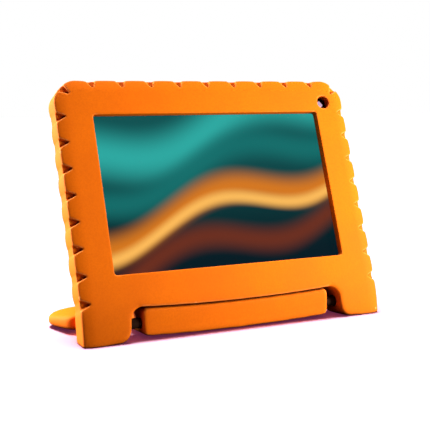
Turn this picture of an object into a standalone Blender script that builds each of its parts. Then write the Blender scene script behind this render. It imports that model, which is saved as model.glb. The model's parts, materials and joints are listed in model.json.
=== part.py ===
"""A child's tablet computer in a moulded foam case with a fold-out carrying handle.

The handle folds back under the case and becomes its stand, so the slab leans back and
rests on two moulded feet and on the far edge of the handle.

World frame: metres, +X to the right as seen from the front, +Y to the back, +Z up, with
the origin on the floor under the middle of the object.
Slab frame: x to the right, d from the front face into the slab, v up along the slab. The
empty "slab_frame" carries it into the world, and its local axes are (x, d, v).
"""
import math

import bmesh
import bpy
from mathutils import Matrix, Vector

# ---------------------------------------------------------------- driving dimensions
LEAN = math.radians(20.7)          # how far the slab leans back from the vertical
SLAB_WIDTH = 0.200
SLAB_HEIGHT = 0.1580
SLAB_DEPTH = 0.020
FLOOR_DROP = 0.002                 # the slab frame's origin above the floor
SLAB_Y = -0.0375                   # the slab frame's origin, front to back
GAP = 0.0003                       # between pieces that rest on each other
PLAY = 0.0001                      # radial play of a turning fit
OVERSHOOT = 0.002                  # how far a cutter reaches past the face it opens
CUT_DEPTH = 0.030                  # half the height of a cutter that goes right through

RIM_START = -0.004                 # the rim runs on below the floor and is cut off there
CORNER_RADIUS = 0.015
FRONT_EDGE_RADIUS = 0.0012
SIDE_FLAT = 0.0125                 # the straight part of the rim, from the front face
REAR_ROUND = SLAB_DEPTH - SIDE_FLAT

LOBE_DEPTH = 0.0012                # how far the scalloped rim dips at each notch
SIDE_NOTCHES = 8
SIDE_NOTCH_PITCH = 0.01576
SIDE_NOTCH_LOWEST = 0.0243
SIDE_NOTCH_DEPTH = 0.0056
TOP_NOTCHES = 9
TOP_NOTCH_PITCH = 0.019
TOP_NOTCH_DEPTH = 0.0043
CORNER_NOTCH_DEPTH = 0.0062
NOTCH_HALF_WIDTH = 0.003
NOTCH_POCKET_DEPTH = 0.003

FOOT_BEND_START = 0.024            # below this height the feet curl towards the vertical
FOOT_BEND_RADIUS = 0.090
FOOT_BEND_SLICE = 0.006

WINDOW_WIDTH = 0.155
WINDOW_LOW = 0.0388
WINDOW_HIGH = 0.1360
WINDOW_RADIUS = 0.0015
FRONT_CAMERA = (0.0844, 0.1425)    # x, v
FRONT_CAMERA_HOLE_RADIUS = 0.004

RECESS_HALF_WIDTH = 0.072          # between the feet
RECESS_TOP = 0.0193
RECESS_CORNER = 0.007
FOOT_CORNER = 0.009                # rounding of each foot's lower inner corner
FOOT_LOW = -0.001                  # the height of that corner
BOW = 0.0018                       # the hinge bar and the edge over it sag in the middle

TABLET_WIDTH = 0.184
TABLET_HEIGHT = 0.116
TABLET_THICKNESS = 0.011
TABLET_LOW = 0.0315                # height of the tablet's lower edge up the slab
TABLET_FRONT = 0.0052              # the glass lies this far behind the case's front face
TABLET_CORNER = 0.006
SHELL = 0.0014

HINGE_V = 0.011
HINGE_D = 0.0095
PIN_RADIUS = 0.002
BUSH_RADIUS = 0.0032
BAR_HALF_WIDTH = 0.063
BUSH_INNER_END = 0.047
SOCKET_RADIUS = 0.0114
SOCKET_SIDE_ROOM = 0.0012

LOOP_HALF_WIDTH = 0.107
LOOP_REAR = 0.055                  # the handle's far edge behind the hinge axis
LOOP_FLAT = 0.015                  # the strip under that edge which rests on the floor
BAR_RADIUS = 0.0102                # the bar's rounded top, about the hinge axis
NECK_END = 0.0140
NECK_ROOM = 0.0008                 # between the neck's top and the case's edge over it
GRIP_WIDTH = 0.0205
FINGER_GAP_FRONT = 0.0125
FINGER_GAP_HALF_WIDTH = 0.054
FINGER_GAP_CORNER = 0.008

POWER_V = 0.1190                   # heights of the buttons and sockets on the right-hand side
VOLUME_V = 0.0940
JACK_V = 0.0745
USB_V = 0.0615
CARD_V = 0.0475
SLOT_HALF_DEPTH = 0.0036           # of the holes for them in the foam
POWER_LENGTH = 0.0090
VOLUME_LENGTH = 0.0200
BUTTON_HEIGHT = 0.0022
BUTTON_PROUD = 0.0005
POWER_TRAVEL = 0.0004
SWITCH_REACH = POWER_TRAVEL + 0.00015            # from a cap's back to its switch at rest

FRONT_CAMERA_HALF = 0.0028
REAR_CAMERA = (0.058, 0.1350)
REAR_CAMERA_HALF = 0.0042
REAR_CAMERA_HOLE = 0.0065
REAR_WINDOW_RADIUS = 0.004
SPEAKER = (-0.066, 0.1270)
SPEAKER_HALF = (0.0125, 0.0080)
SPEAKER_SLOTS = 5
SPEAKER_SLOT_PITCH = 0.0045
GASKET_WIDTH = 0.0015
GASKET_THICKNESS = 0.0008

PANEL_WIDTH = 0.160
PANEL_HEIGHT = 0.1006
FLEX_PLACES = ((0.044, 0.020), (0.070, 0.008))   # middle x and width: display, then touch
BOARD_LOW = (0.032, 0.0375)                      # x, v
BOARD_HIGH = (0.0875, 0.1275)
BOARD_SCREWS = [(x, v) for x in (0.0355, 0.0745) for v in (0.0780, 0.1240)]
BOSS_RADIUS = 0.0024
SCREW_RADIUS = 0.0008
SCREW_HEAD_RADIUS = 0.0015
CELL_LOW = (-0.084, 0.0400)
CELL_HIGH = (0.020, 0.1080)
CELL_THICKNESS = 0.0034

# ---------------------------------------------------------------- worked-out places
TABLET_MID_V = TABLET_LOW + TABLET_HEIGHT / 2
TABLET_BACK = TABLET_FRONT + TABLET_THICKNESS
TABLET_SIDE = TABLET_WIDTH / 2
WINDOW_MID_V = (WINDOW_LOW + WINDOW_HIGH) / 2
HINGE_Y = HINGE_V * math.sin(LEAN) + HINGE_D * math.cos(LEAN)
HINGE_Z = HINGE_V * math.cos(LEAN) - HINGE_D * math.sin(LEAN)
HINGE_WORLD = Vector((0, SLAB_Y + HINGE_Y, FLOOR_DROP + HINGE_Z))

# layers of the tablet, from the glass to the back, as distances from the slab's face
GLASS_BACK = TABLET_FRONT + 0.0008
PANEL_FRONT = GLASS_BACK + GAP
PANEL_BACK = PANEL_FRONT + 0.0010
LIGHT_FRONT = PANEL_BACK + GAP
LIGHT_GUIDE_BACK = LIGHT_FRONT + 0.0006
TRAY_BACK = LIGHT_GUIDE_BACK + GAP + 0.0006
PLATE_FRONT = TRAY_BACK + GAP
PLATE_BACK = PLATE_FRONT + 0.0006
COVER_INSIDE = TABLET_BACK - SHELL
BOARD_BACK = COVER_INSIDE - 0.0008
BOARD_FRONT = BOARD_BACK - 0.0008
PORT_D = (PLATE_BACK + BOARD_FRONT) / 2          # the middle of the sockets' depth

BUSH_OUTER_END = BAR_HALF_WIDTH - GAP
PIN_OUTER_END = RECESS_HALF_WIDTH + 0.0075
GLASS_WIDTH = TABLET_WIDTH - 2 * SHELL - 2 * GAP
GLASS_HEIGHT = TABLET_HEIGHT - 2 * SHELL - 2 * GAP
PANEL_LOW = WINDOW_MID_V - PANEL_HEIGHT / 2
CAP_INSIDE = TABLET_SIDE - SHELL - 0.0008


# ---------------------------------------------------------------- scene and materials
def clear_scene():
    for item in list(bpy.data.objects):
        bpy.data.objects.remove(item, do_unlink=True)


def make_material(name, colour, roughness, metallic=0.0):
    made = bpy.data.materials.new(name)
    made.use_nodes = True
    shader = made.node_tree.nodes["Principled BSDF"]
    shader.inputs["Base Color"].default_value = (*colour, 1.0)
    shader.inputs["Roughness"].default_value = roughness
    shader.inputs["Metallic"].default_value = metallic
    made.diffuse_color = (*colour, 1.0)
    return made


clear_scene()
FOAM = make_material("orange_foam", (1.0, 0.22, 0.005), 0.75)
BLACK_PLASTIC = make_material("black_plastic", (0.02, 0.02, 0.022), 0.5)
BLACK_GLASS = make_material("black_glass", (0.004, 0.012, 0.018), 0.08)
CLEAR_GLASS = make_material("clear_glass", (0.03, 0.03, 0.05), 0.05)
WHITE_PLASTIC = make_material("white_plastic", (0.85, 0.85, 0.82), 0.4)
STEEL = make_material("steel", (0.55, 0.56, 0.58), 0.3, 1.0)
CIRCUIT = make_material("circuit_board", (0.01, 0.12, 0.05), 0.5)
FLEX = make_material("amber_flex", (0.55, 0.22, 0.03), 0.45)
CHIP = make_material("chip", (0.015, 0.015, 0.017), 0.55)
CELL_WRAP = make_material("cell_wrap", (0.50, 0.51, 0.53), 0.35, 0.6)
SEAL_FOAM = make_material("seal_foam", (0.03, 0.03, 0.03), 0.9)


# ---------------------------------------------------------------- outlines
def arc_points(centre, radius, start, end, steps):
    """Points on an arc, both ends included; the angles are in radians."""
    made = []
    for step in range(steps + 1):
        angle = start + (end - start) * step / steps
        made.append((centre[0] + radius * math.cos(angle), centre[1] + radius * math.sin(angle)))
    return made


def rounded_outline(corners, steps=5):
    """Round each corner (x, y, radius) of a closed outline with an arc."""
    made = []
    count = len(corners)
    for index, (x, y, radius) in enumerate(corners):
        here = Vector((x, y))
        if radius == 0:
            made.append((x, y))
            continue
        back = (Vector(corners[index - 1][:2]) - here).normalized()
        ahead = (Vector(corners[(index + 1) % count][:2]) - here).normalized()
        half = back.angle(ahead) / 2
        reach = radius / math.tan(half)
        centre = here + (back + ahead).normalized() * radius / math.sin(half)
        first = here + back * reach - centre
        turn = first.angle_signed(here + ahead * reach - centre)
        start = math.atan2(first.y, first.x)
        # angle_signed is positive clockwise
        made += arc_points(centre, radius, start, start - turn, steps)
    return made


def rounded_rectangle(width, height, radius, middle=(0, 0), steps=5):
    x, y = middle
    half_w, half_h = width / 2, height / 2
    signs = ((-1, -1), (1, -1), (1, 1), (-1, 1))
    return rounded_outline([(x + a * half_w, y + b * half_h, radius) for a, b in signs], steps)


def mirrored(right_half):
    """Complete an outline from its right half, which runs from bottom to top."""
    return right_half + [(-x, *rest) for x, *rest in reversed(right_half)]


# ---------------------------------------------------------------- meshes and objects
def loft(rings):
    """A closed solid through rings of equally many points, with flat ends."""
    made = bmesh.new()
    layers = [[made.verts.new(point) for point in ring] for ring in rings]
    for low, high in zip(layers, layers[1:]):
        for index in range(len(low)):
            nearby = (index + 1) % len(low)
            made.faces.new((low[index], low[nearby], high[nearby], high[index]))
    made.faces.new(layers[0])
    made.faces.new(layers[-1])
    bmesh.ops.recalc_face_normals(made, faces=made.faces)
    return made


def slab_prism(outline, front, back):
    """An outline in x and v, extruded from one depth to another."""
    return loft([[(x, d, v) for x, v in outline] for d in (front, back)])


def slab_block(low, high):
    """A block between two corners (x, d, v)."""
    outline = ((low[0], low[2]), (high[0], low[2]), (high[0], high[2]), (low[0], high[2]))
    return slab_prism(outline, low[1], high[1])


def slab_disc(middle, radius, front, back, segments=24):
    outline = arc_points(middle, radius, 0, 2 * math.pi, segments)[:-1]
    return slab_prism(outline, front, back)


def cross_rod(radius, start, end, centre=(0, 0), segments=32):
    """A round rod along x."""
    ring = arc_points(centre, radius, 0, 2 * math.pi, segments)[:-1]
    return loft([[(x, y, z) for y, z in ring] for x in (start, end)])


def join(meshes):
    """Put several closed solids that don't meet into one mesh."""
    made = bmesh.new()
    for part in meshes:
        held = bpy.data.meshes.new("joined")
        part.to_mesh(held)
        made.from_mesh(held)
        bpy.data.meshes.remove(held)
    return made


def add_object(name, built, material, parent=None, origin=(0, 0, 0), smooth=30):
    """Turn a bmesh into an object whose origin is at a point of its parent's frame."""
    built.transform(Matrix.Translation(-Vector(origin)))
    mesh = bpy.data.meshes.new(name)
    built.to_mesh(mesh)
    built.free()
    if material:
        mesh.materials.append(material)
    mesh.shade_smooth()
    mesh.set_sharp_from_angle(angle=math.radians(smooth))
    made = bpy.data.objects.new(name, mesh)
    bpy.context.scene.collection.objects.link(made)
    made.parent = parent
    made.location = origin
    return made


def add_cutter(name, built, parent=None, origin=(0, 0, 0)):
    made = add_object(name, built, None, parent, origin)
    made.hide_render = True
    made.display_type = "WIRE"
    return made


def combine(target, other, operation="DIFFERENCE"):
    step = target.modifiers.new(other.name, "BOOLEAN")
    step.operation = operation
    step.object = other
    step.solver = "EXACT"


def cut(target, name, built, parent=None):
    combine(target, add_cutter("cutter_" + name, built, parent))


def add_empty(name, location, tilt=0.0):
    made = bpy.data.objects.new(name, None)
    bpy.context.scene.collection.objects.link(made)
    made.location = location
    made.rotation_euler = (tilt, 0, 0)
    return made


slab_frame = add_empty("slab_frame", (0, SLAB_Y, FLOOR_DROP), -LEAN)
hinge_frame = add_empty("hinge_frame", HINGE_WORLD)


def slab_piece(name, built, material, origin=(0, 0, 0)):
    return add_object(name, built, material, slab_frame, origin)


# ---------------------------------------------------------------- the scalloped rim
def rim_path():
    """The case's outline as a list of stretches (length, place at distance t)."""
    half = SLAB_WIDTH / 2
    side = SLAB_HEIGHT - CORNER_RADIUS - RIM_START
    top = SLAB_WIDTH - 2 * CORNER_RADIUS
    corner = math.pi / 2 * CORNER_RADIUS
    middle = (half - CORNER_RADIUS, SLAB_HEIGHT - CORNER_RADIUS)

    def round_corner(sign, t):
        angle = t / CORNER_RADIUS
        if sign < 0:
            angle = math.pi / 2 - angle
        normal = (sign * math.cos(angle), math.sin(angle))
        x = sign * middle[0] + CORNER_RADIUS * normal[0]
        return (x, middle[1] + CORNER_RADIUS * normal[1]), normal

    return (
        (side, lambda t: ((half, RIM_START + t), (1, 0))),
        (corner, lambda t: round_corner(1, t)),
        (top, lambda t: ((middle[0] - t, SLAB_HEIGHT), (0, 1))),
        (corner, lambda t: round_corner(-1, t)),
        (side, lambda t: ((-half, middle[1] - t), (-1, 0))),
    )


RIM_PATH = rim_path()
RIM_LENGTH = sum(length for length, place in RIM_PATH)


def rim_place(distance):
    """The point and the outward normal at a distance along the rim."""
    for length, place in RIM_PATH:
        if distance <= length:
            return place(distance)
        distance -= length
    return RIM_PATH[-1][1](RIM_PATH[-1][0])


def notch_stations():
    """Each notch as (distance along the rim, depth)."""
    side = RIM_PATH[0][0]
    corner = RIM_PATH[1][0]
    lowest = SIDE_NOTCH_LOWEST - RIM_START
    right = [(lowest + SIDE_NOTCH_PITCH * k, SIDE_NOTCH_DEPTH) for k in range(SIDE_NOTCHES)]
    right.append((side + corner / 2, CORNER_NOTCH_DEPTH))
    left = [(RIM_LENGTH - distance, depth) for distance, depth in reversed(right)]
    first = RIM_LENGTH / 2 - TOP_NOTCH_PITCH * (TOP_NOTCHES - 1) / 2
    top = [(first + TOP_NOTCH_PITCH * k, TOP_NOTCH_DEPTH) for k in range(TOP_NOTCHES)]
    return right + top + left


NOTCHES = notch_stations()


def rim_samples(per_lobe=5):
    """(distance, dip) along the rim: the dip is 1 at a notch and 0 at a lobe's crown."""
    stations = [distance for distance, depth in NOTCHES]
    made = [(0.0, 0.0), (stations[0] - SIDE_NOTCH_PITCH / 2, 0.0)]
    for here, there in zip(stations, stations[1:]):
        for step in range(per_lobe):
            part = step / per_lobe
            made.append((here + (there - here) * part, 1 - math.sin(math.pi * part)))
    made.append((stations[-1], 1.0))
    made += [(RIM_LENGTH - distance, dip) for distance, dip in reversed(made[:2])]
    return made


def rim_ring(depth, inset, scallop):
    ring = []
    for distance, dip in rim_samples():
        (x, v), normal = rim_place(distance)
        inward = inset + LOBE_DEPTH * scallop * dip
        ring.append((x - normal[0] * inward, depth, v - normal[1] * inward))
    return ring


def bend_feet(built):
    """Curl the slab below FOOT_BEND_START back about a cross axis behind it."""
    height = FOOT_BEND_START
    while height > RIM_START:
        everything = built.verts[:] + built.edges[:] + built.faces[:]
        bmesh.ops.bisect_plane(built, geom=everything, plane_co=(0, 0, height), plane_no=(0, 0, 1))
        height -= FOOT_BEND_SLICE
    for vert in built.verts:
        if vert.co.z < FOOT_BEND_START:
            angle = (FOOT_BEND_START - vert.co.z) / FOOT_BEND_RADIUS
            reach = FOOT_BEND_RADIUS - vert.co.y
            vert.co.z = FOOT_BEND_START - reach * math.sin(angle)
            vert.co.y = FOOT_BEND_RADIUS - reach * math.cos(angle)


# ---------------------------------------------------------------- foam case
def sag(x):
    """How far the hinge bar and the edge over it hang below their ends."""
    return BOW * max(0.0, 1 - (x / BAR_HALF_WIDTH) ** 2)


def notch_cutters():
    """A triangular pocket at each notch, its point towards the screen."""
    made = []
    for distance, depth in NOTCHES:
        (x, v), (out_x, out_v) = rim_place(distance)
        beyond = depth                           # the cutter is twice as long as the notch
        half = NOTCH_HALF_WIDTH * (depth + beyond) / depth
        tip = (x - out_x * depth, v - out_v * depth)
        mouth = (x + out_x * beyond, v + out_v * beyond)
        left = (mouth[0] - out_v * half, mouth[1] + out_x * half)
        right = (mouth[0] + out_v * half, mouth[1] - out_x * half)
        made.append(slab_prism((tip, right, left), -NOTCH_POCKET_DEPTH, NOTCH_POCKET_DEPTH))
    return join(made)


def recess_cutter():
    """The opening between the feet, with a sagging upper edge and rounded foot corners."""
    half = RECESS_HALF_WIDTH
    outside = half + 2 * FOOT_CORNER
    foot_edge = rounded_outline(
        ((outside, -CUT_DEPTH, 0), (outside, FOOT_LOW, 0), (half, FOOT_LOW, FOOT_CORNER),
         (half - 0.0015, RECESS_TOP, RECESS_CORNER), (0, RECESS_TOP, 0)))[:-1]
    straight = foot_edge[-1][0]
    steps = 6
    for step in range(1, steps + 1):
        x = straight * (1 - step / steps)
        foot_edge.append((x, RECESS_TOP - sag(x)))
    outline = foot_edge + [(-x, v) for x, v in reversed(foot_edge[:-1])]
    return slab_prism(outline, -CUT_DEPTH, SLAB_DEPTH + CUT_DEPTH)


def socket_cutter():
    """Room for the hinge bar to turn: a hollow round the hinge axis, open to the back."""
    steps = 10
    reach = BAR_HALF_WIDTH + SOCKET_SIDE_ROOM
    lower = HINGE_V - CUT_DEPTH
    back = SLAB_DEPTH + CUT_DEPTH
    rings = []
    for step in range(steps + 1):
        x = -reach + 2 * reach * step / steps
        drop = sag(x)
        curve = arc_points((HINGE_D, HINGE_V - drop), SOCKET_RADIUS, math.pi, math.pi / 2, 8)
        outline = [(HINGE_D - SOCKET_RADIUS, lower)] + curve
        outline += [(SLAB_DEPTH, HINGE_V + SOCKET_RADIUS), (back, HINGE_V + SOCKET_RADIUS),
                    (back, lower)]
        rings.append([(x, d, v) for d, v in outline])
    return loft(rings)


def side_cutter(middle_v, length):
    """A round-ended slot through the right-hand wall of the case."""
    outline = rounded_rectangle(2 * SLOT_HALF_DEPTH, length, SLOT_HALF_DEPTH - PLAY,
                                (PORT_D, middle_v), 4)
    reach = (TABLET_SIDE - OVERSHOOT, SLAB_WIDTH / 2 + OVERSHOOT)
    return loft([[(x, d, v) for d, v in outline] for x in reach])


def speaker_slots(width, height, front, back):
    made = []
    for k in range(SPEAKER_SLOTS):
        x = SPEAKER[0] + SPEAKER_SLOT_PITCH * (k - (SPEAKER_SLOTS - 1) / 2)
        outline = rounded_rectangle(width, height, width / 2 - PLAY, (x, SPEAKER[1]), 3)
        made.append(slab_prism(outline, front, back))
    return join(made)


def build_foam_case():
    quarter = 4
    rings = [rim_ring(0, FRONT_EDGE_RADIUS, 1), rim_ring(FRONT_EDGE_RADIUS, 0, 1)]
    for step in range(quarter + 1):
        angle = math.pi / 2 * step / quarter
        depth = SIDE_FLAT + REAR_ROUND * math.sin(angle)
        inset = REAR_ROUND * (1 - math.cos(angle))
        rings.append(rim_ring(depth, inset, math.cos(angle)))
    body = loft(rings)
    bend_feet(body)
    case = slab_piece("foam_case", body, FOAM)

    tablet_outline = rounded_rectangle(TABLET_WIDTH + 2 * GAP, TABLET_HEIGHT + 2 * GAP,
                                       TABLET_CORNER + GAP, (0, TABLET_MID_V))
    window_outline = rounded_rectangle(WINDOW_WIDTH, WINDOW_HIGH - WINDOW_LOW, WINDOW_RADIUS,
                                       (0, WINDOW_MID_V), 2)
    cut(case, "recess", recess_cutter(), slab_frame)
    cut(case, "socket", socket_cutter(), slab_frame)
    for side, sign in (("left", -1), ("right", 1)):
        bore = cross_rod(BUSH_RADIUS + GAP, sign * BAR_HALF_WIDTH, sign * (PIN_OUTER_END + GAP),
                         (HINGE_D, HINGE_V))
        cut(case, "foot_bore_" + side, bore, slab_frame)
    cut(case, "cavity", slab_prism(tablet_outline, TABLET_FRONT - GAP, TABLET_BACK + GAP), slab_frame)
    cut(case, "window", slab_prism(window_outline, -OVERSHOOT, TABLET_FRONT), slab_frame)
    front_hole = slab_disc(FRONT_CAMERA, FRONT_CAMERA_HOLE_RADIUS, -OVERSHOOT, TABLET_FRONT)
    cut(case, "front_camera", front_hole, slab_frame)
    rear_hole = slab_disc(REAR_CAMERA, REAR_CAMERA_HOLE, TABLET_BACK, SLAB_DEPTH + OVERSHOOT)
    cut(case, "rear_camera", rear_hole, slab_frame)
    slots = speaker_slots(0.0028, 0.016, TABLET_BACK, SLAB_DEPTH + OVERSHOOT)
    cut(case, "speaker", slots, slab_frame)
    cut(case, "notches", notch_cutters(), slab_frame)
    for label, middle, length in (("power", POWER_V, 0.015), ("volume", VOLUME_V, 0.027),
                                  ("jack", JACK_V, 0.0095), ("usb", USB_V, 0.0135)):
        cut(case, label, side_cutter(middle, length), slab_frame)
    below = slab_block((-SLAB_WIDTH, -SLAB_WIDTH, -CUT_DEPTH), (SLAB_WIDTH, SLAB_WIDTH, 0))
    cut(case, "floor", below)
    return case


# ---------------------------------------------------------------- stand loop and hinge
def build_stand_loop():
    """The handle: a hinge bar, a short neck and a wide D-shaped grip, in the hinge's frame."""
    floor = -HINGE_WORLD.z
    bar_front = -0.0050
    roof = SOCKET_RADIUS - NECK_ROOM
    side_profile = [(bar_front, -0.0054), (bar_front + 0.0010, 0.0080)]
    side_profile += arc_points((0, 0), BAR_RADIUS, math.radians(118), math.radians(80), 3)
    for along in (NECK_END / 3, NECK_END):
        side_profile.append((along, (roof - along * math.sin(LEAN)) / math.cos(LEAN)))
    side_profile += [(0.0250, 0.0036), (LOOP_REAR, 0.0010), (LOOP_REAR, floor),
                     (LOOP_REAR - LOOP_FLAT, floor)]
    sagging = 0.025                              # the sag fades out over this length of the neck
    steps = 12
    rings = []
    for step in range(steps + 1):
        x = -BAR_HALF_WIDTH + 2 * BAR_HALF_WIDTH * step / steps
        ring = []
        for y, z in side_profile:
            share = max(0.0, min(1.0, 1 - (y - bar_front) / sagging))
            ring.append((x, y, z - share * sag(x)))
        rings.append(ring)
    wide = LOOP_HALF_WIDTH + OVERSHOOT
    rings.insert(0, [(-wide, y, z) for y, z in side_profile])
    rings.append([(wide, y, z) for y, z in side_profile])
    loop = add_object("stand_loop", loft(rings), FOAM, hinge_frame)

    half_plan = [(BAR_HALF_WIDTH, 2 * bar_front, 0), (BAR_HALF_WIDTH, 0.0205, 0.008),
                 (0.0935, 0.0225, 0.006), (LOOP_HALF_WIDTH, LOOP_REAR, 0.010)]
    plan = rounded_outline(mirrored(half_plan), 6)
    tall = loft([[(x, y, z) for x, y in plan] for z in (-CUT_DEPTH, CUT_DEPTH)])
    combine(loop, add_cutter("plan_of_loop", tall, hinge_frame), "INTERSECT")

    gap_rear = LOOP_REAR - GRIP_WIDTH
    finger_outline = rounded_rectangle(2 * FINGER_GAP_HALF_WIDTH, gap_rear - FINGER_GAP_FRONT,
                                       FINGER_GAP_CORNER, (0, (gap_rear + FINGER_GAP_FRONT) / 2))
    fingers = loft([[(x, y, z) for x, y in finger_outline] for z in (-CUT_DEPTH, CUT_DEPTH)])
    cut(loop, "finger_gap", fingers, hinge_frame)
    for side, sign in (("left", -1), ("right", 1)):
        bore = cross_rod(BUSH_RADIUS + GAP, sign * (BUSH_INNER_END - GAP),
                         sign * (BAR_HALF_WIDTH + OVERSHOOT))
        cut(loop, "bar_bore_" + side, bore, hinge_frame)
    return loop


def build_hinge(side, sign):
    """One pin, fixed in a bush in the foot, which the bush in the bar turns on."""
    add_object("hinge_pin_" + side,
               cross_rod(PIN_RADIUS, sign * (BUSH_INNER_END + GAP), sign * PIN_OUTER_END),
               STEEL, hinge_frame)
    for label, near, far in (("bar_bush_", BUSH_INNER_END, BUSH_OUTER_END),
                             ("foot_bush_", BAR_HALF_WIDTH + 3 * GAP, PIN_OUTER_END)):
        bush = add_object(label + side, cross_rod(BUSH_RADIUS, sign * near, sign * far),
                          BLACK_PLASTIC, hinge_frame)
        bore = cross_rod(PIN_RADIUS + PLAY, sign * (near - OVERSHOOT), sign * (far + OVERSHOOT))
        cut(bush, label + side, bore, hinge_frame)


# ---------------------------------------------------------------- tablet: shell and screen
def build_rear_cover():
    """A tray with a rounded back edge, which everything else in the tablet lies in."""
    rounding = 0.003
    middle = (0, TABLET_MID_V)
    rings = []
    for depth, inset in ((TABLET_FRONT, 0), (TABLET_BACK - rounding, 0),
                         (TABLET_BACK - rounding * 0.3, rounding * 0.3), (TABLET_BACK, rounding)):
        outline = rounded_rectangle(TABLET_WIDTH - 2 * inset, TABLET_HEIGHT - 2 * inset,
                                    TABLET_CORNER - inset, middle)
        rings.append([(x, depth, v) for x, v in outline])
    cover = slab_piece("rear_cover", loft(rings), BLACK_PLASTIC)
    hollow = rounded_rectangle(TABLET_WIDTH - 2 * SHELL, TABLET_HEIGHT - 2 * SHELL,
                               TABLET_CORNER - SHELL, middle)
    room = slab_prism(hollow, TABLET_FRONT - OVERSHOOT, COVER_INSIDE)
    cut(cover, "cover_hollow", room, slab_frame)
    through = (COVER_INSIDE - OVERSHOOT, TABLET_BACK + OVERSHOOT)
    cut(cover, "cover_camera", slab_disc(REAR_CAMERA, REAR_WINDOW_RADIUS, *through), slab_frame)
    cut(cover, "cover_speaker", speaker_slots(0.0016, 0.010, *through), slab_frame)
    inside = TABLET_SIDE - SHELL - OVERSHOOT
    outside = TABLET_SIDE + OVERSHOOT
    for label, middle_v, length, height in (("power", POWER_V, POWER_LENGTH, BUTTON_HEIGHT),
                                            ("volume", VOLUME_V, VOLUME_LENGTH, BUTTON_HEIGHT),
                                            ("jack", JACK_V, 0.0044, 0.0030),
                                            ("usb", USB_V, 0.0082, 0.0024),
                                            ("card", CARD_V, 0.0115, 0.0012)):
        half_v = length / 2 + GAP
        half_d = height / 2 + GAP
        hole = slab_block((inside, PORT_D - half_d, middle_v - half_v),
                          (outside, PORT_D + half_d, middle_v + half_v))
        cut(cover, "cover_" + label, hole, slab_frame)


def panel_outline(grow):
    """The liquid-crystal panel's outline, grown all round, with tiny corners."""
    return rounded_rectangle(PANEL_WIDTH + 2 * grow, PANEL_HEIGHT + 2 * grow, 0.0005,
                             (0, WINDOW_MID_V), 1)


def build_screen():
    glass = rounded_rectangle(GLASS_WIDTH, GLASS_HEIGHT, TABLET_CORNER - SHELL, (0, TABLET_MID_V))
    slab_piece("cover_glass", slab_prism(glass, TABLET_FRONT, GLASS_BACK), BLACK_GLASS)
    slab_piece("lcd_panel", slab_prism(panel_outline(0), PANEL_FRONT, PANEL_BACK), BLACK_GLASS)
    guide = slab_prism(panel_outline(-2 * GAP), LIGHT_FRONT, LIGHT_GUIDE_BACK)
    slab_piece("light_guide", guide, WHITE_PLASTIC)
    tray = slab_piece("backlight_tray", slab_prism(panel_outline(0), LIGHT_FRONT, TRAY_BACK), STEEL)
    room = slab_prism(panel_outline(-GAP), LIGHT_FRONT - OVERSHOOT, LIGHT_GUIDE_BACK + GAP)
    cut(tray, "tray_room", room, slab_frame)


def build_mid_frame():
    """A metal frame round the screen, with a plate behind it and bosses for the board."""
    middle = (0, TABLET_MID_V)
    outer = rounded_rectangle(GLASS_WIDTH, GLASS_HEIGHT, TABLET_CORNER - SHELL, middle)
    frame = slab_piece("mid_frame", slab_prism(outer, GLASS_BACK + GAP, PLATE_BACK), STEEL)
    screen_room = slab_prism(panel_outline(GAP), GLASS_BACK - OVERSHOOT, PLATE_FRONT)
    cut(frame, "screen_room", screen_room, slab_frame)
    x, v = FRONT_CAMERA
    half = FRONT_CAMERA_HALF + GAP
    camera_room = slab_block((x - half, GLASS_BACK - OVERSHOOT, v - half),
                             (x + half, PLATE_BACK + OVERSHOOT, v + half))
    cut(frame, "camera_room", camera_room, slab_frame)
    for index, (middle_x, width) in enumerate(FLEX_PLACES):
        half = width / 2 + 2 * GAP
        low = PANEL_LOW - 0.0026
        passage = slab_block((middle_x - half, GLASS_BACK - OVERSHOOT, low),
                             (middle_x + half, PLATE_BACK + OVERSHOOT, low + 0.006))
        cut(frame, "flex_passage_%d" % index, passage, slab_frame)
    for index, place in enumerate(BOARD_SCREWS):
        boss = slab_disc(place, BOSS_RADIUS, PLATE_BACK - GAP, BOARD_FRONT - GAP, 20)
        combine(frame, add_cutter("boss_%d" % index, boss, slab_frame), "UNION")
        hole = slab_disc(place, SCREW_RADIUS + PLAY, PLATE_BACK + GAP, BOARD_FRONT, 16)
        cut(frame, "boss_hole_%d" % index, hole, slab_frame)


# ---------------------------------------------------------------- tablet: electronics
def build_main_board():
    outline = ((BOARD_LOW[0], BOARD_LOW[1]), (BOARD_HIGH[0], BOARD_LOW[1]),
               (BOARD_HIGH[0], BOARD_HIGH[1]), (BOARD_LOW[0], BOARD_HIGH[1]))
    board = slab_piece("main_board", slab_prism(outline, BOARD_FRONT, BOARD_BACK), CIRCUIT)
    for index, place in enumerate(BOARD_SCREWS):
        hole = slab_disc(place, SCREW_RADIUS + PLAY, BOARD_FRONT - OVERSHOOT,
                         BOARD_BACK + OVERSHOOT, 16)
        cut(board, "board_hole_%d" % index, hole, slab_frame)
        shank = slab_disc(place, SCREW_RADIUS, PLATE_BACK + 2 * GAP, BOARD_BACK + 0.0002, 16)
        screw = slab_piece("board_screw_%d" % (index + 1), shank, STEEL)
        head = slab_disc(place, SCREW_HEAD_RADIUS, BOARD_BACK + PLAY, COVER_INSIDE - PLAY, 16)
        combine(screw, add_cutter("screw_head_%d" % index, head, slab_frame), "UNION")


def board_part(name, middle, size, height, material):
    """A block on the front side of the board: middle and size in x and v."""
    back = BOARD_FRONT - PLAY
    low = (middle[0] - size[0] / 2, back - height, middle[1] - size[1] / 2)
    high = (middle[0] + size[0] / 2, back, middle[1] + size[1] / 2)
    return slab_piece(name, slab_block(low, high), material)


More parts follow.
